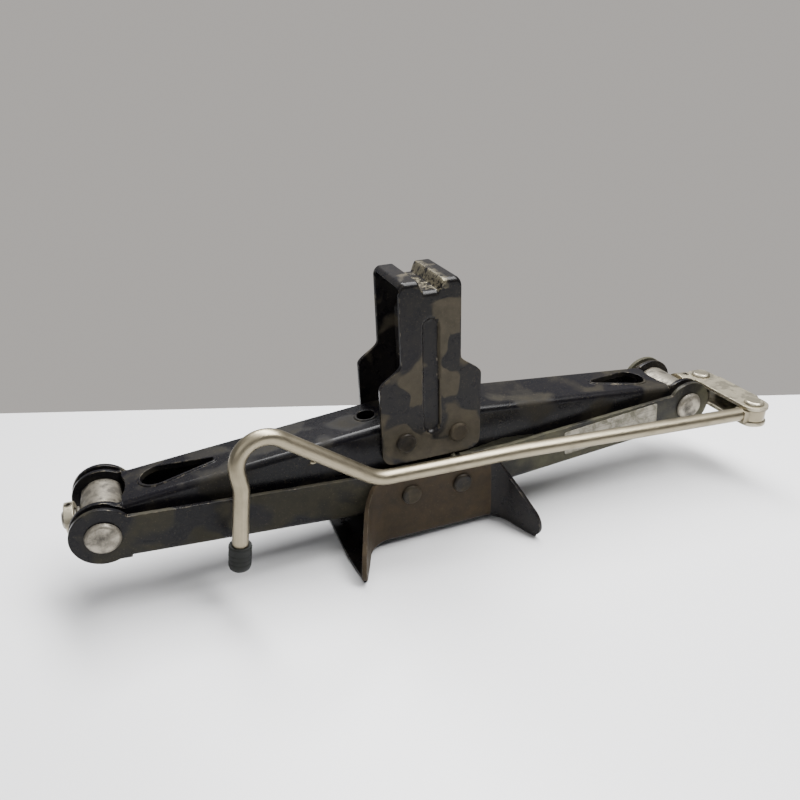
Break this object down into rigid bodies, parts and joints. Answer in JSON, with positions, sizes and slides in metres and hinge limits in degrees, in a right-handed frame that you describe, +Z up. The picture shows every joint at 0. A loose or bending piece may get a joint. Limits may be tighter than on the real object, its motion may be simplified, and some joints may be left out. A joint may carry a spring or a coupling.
{
  "type": "car jack",
  "caption": "Pressed-steel scissor jack in its lowered position, with a grooved saddle, a flared base, a lifting screw across the arms and a folding crank.",
  "frame": {"origin": "on the ground under the middle of the base, midway between its pivots", "axes": "+X along the lifting screw towards its crank end, +Y to the back, away from the stowed crank, +Z up"},
  "size_m": [0.4445, 0.117, 0.166],
  "materials": {
    "black_paint": "satin black paint, dusty and worn",
    "painted_rivet": "black paint worn to brown dust",
    "oiled_steel": "bare steel under old grease",
    "zinc_steel": "dull zinc plating",
    "spring_steel": "dark spring steel",
    "plated_rod": "satin nickel-zinc plating, drawn lengthwise",
    "cap_rubber": "matte dark rubber",
    "label_film": "silver-white film, scuffed"
  },
  "bodies": {
    "base": {"base_bracket": "black_paint", "base_pivot_rivets": "painted_rivet"},
    "lower_left_arm": {"lower_left_arm": "black_paint"},
    "lower_right_arm": {"lower_right_arm": "black_paint", "rating_label": "label_film"},
    "upper_left_arm": {"upper_left_arm": "black_paint"},
    "upper_right_arm": {"upper_right_arm": "black_paint"},
    "saddle": {"saddle_bracket": "black_paint", "saddle_pivot_rivets": "painted_rivet"},
    "nut": {"nut_trunnion": "oiled_steel", "nut_spacer_washers": "zinc_steel"},
    "thrust": {"thrust_trunnion": "oiled_steel", "thrust_spacer_washers": "zinc_steel"},
    "screw": {"lead_screw": "oiled_steel", "screw_stop": "zinc_steel", "stop_roll_pin": "spring_steel", "thrust_washer": "zinc_steel", "thrust_collar": "zinc_steel", "collar_roll_pin": "spring_steel"},
    "link": {"drive_link": "zinc_steel", "screw_link_pin": "zinc_steel", "crank_link_pin": "zinc_steel"},
    "crank": {"crank_rod": "plated_rod", "grip_cap": "cap_rubber"}
  },
  "joints": [
    {"name": "lift", "type": "hinge", "parent": "base", "child": "lower_left_arm", "pos_m": [-0.017, 0, 0.036], "axis": [0, 1, 0], "range_deg": [0, 60]},
    {"name": "lower_right_pivot", "type": "hinge", "parent": "base", "child": "lower_right_arm", "pos_m": [0.017, 0, 0.036], "axis": [0, 1, 0], "range_deg": [-60, 0]},
    {"name": "upper_left_pivot", "type": "hinge", "parent": "lower_left_arm", "child": "upper_left_arm", "pos_m": [-0.19, 0, 0.0523], "axis": [0, 1, 0], "range_deg": [-120, 0]},
    {"name": "upper_right_pivot", "type": "hinge", "parent": "lower_right_arm", "child": "upper_right_arm", "pos_m": [0.19, 0, 0.0523], "axis": [0, 1, 0], "range_deg": [0, 120]},
    {"name": "saddle_pivot", "type": "hinge", "parent": "upper_left_arm", "child": "saddle", "pos_m": [-0.017, 0, 0.0686], "axis": [0, 1, 0], "range_deg": [0, 60]},
    {"name": "nut_swivel", "type": "hinge", "parent": "lower_left_arm", "child": "nut", "pos_m": [-0.19, 0, 0.0523], "axis": [0, 1, 0], "range_deg": [-60, 0]},
    {"name": "thrust_swivel", "type": "hinge", "parent": "lower_right_arm", "child": "thrust", "pos_m": [0.19, 0, 0.0523], "axis": [0, 1, 0], "range_deg": [0, 60]},
    {"name": "screw_turn", "type": "hinge", "parent": "thrust", "child": "screw", "pos_m": [0.19, 0, 0.0523], "axis": [1, 0, 0], "range_deg": [-15, 15]},
    {"name": "link_swing", "type": "hinge", "parent": "screw", "child": "link", "pos_m": [0.222, 0, 0.0523], "axis": [0, 0, 1], "range_deg": [0, 90]},
    {"name": "crank_swing", "type": "hinge", "parent": "link", "child": "crank", "pos_m": [0.222, -0.05, 0.0523], "axis": [0, 0, 1], "range_deg": [0, 90]}
  ],
  "couplings": [
    {"joint": "lower_right_pivot", "follows": "lift", "ratio": -1},
    {"joint": "upper_left_pivot", "follows": "lift", "ratio": -2},
    {"joint": "upper_right_pivot", "follows": "lift", "ratio": 2},
    {"joint": "saddle_pivot", "follows": "lift", "ratio": 1},
    {"joint": "nut_swivel", "follows": "lift", "ratio": -1},
    {"joint": "thrust_swivel", "follows": "lift", "ratio": 1}
  ]
}
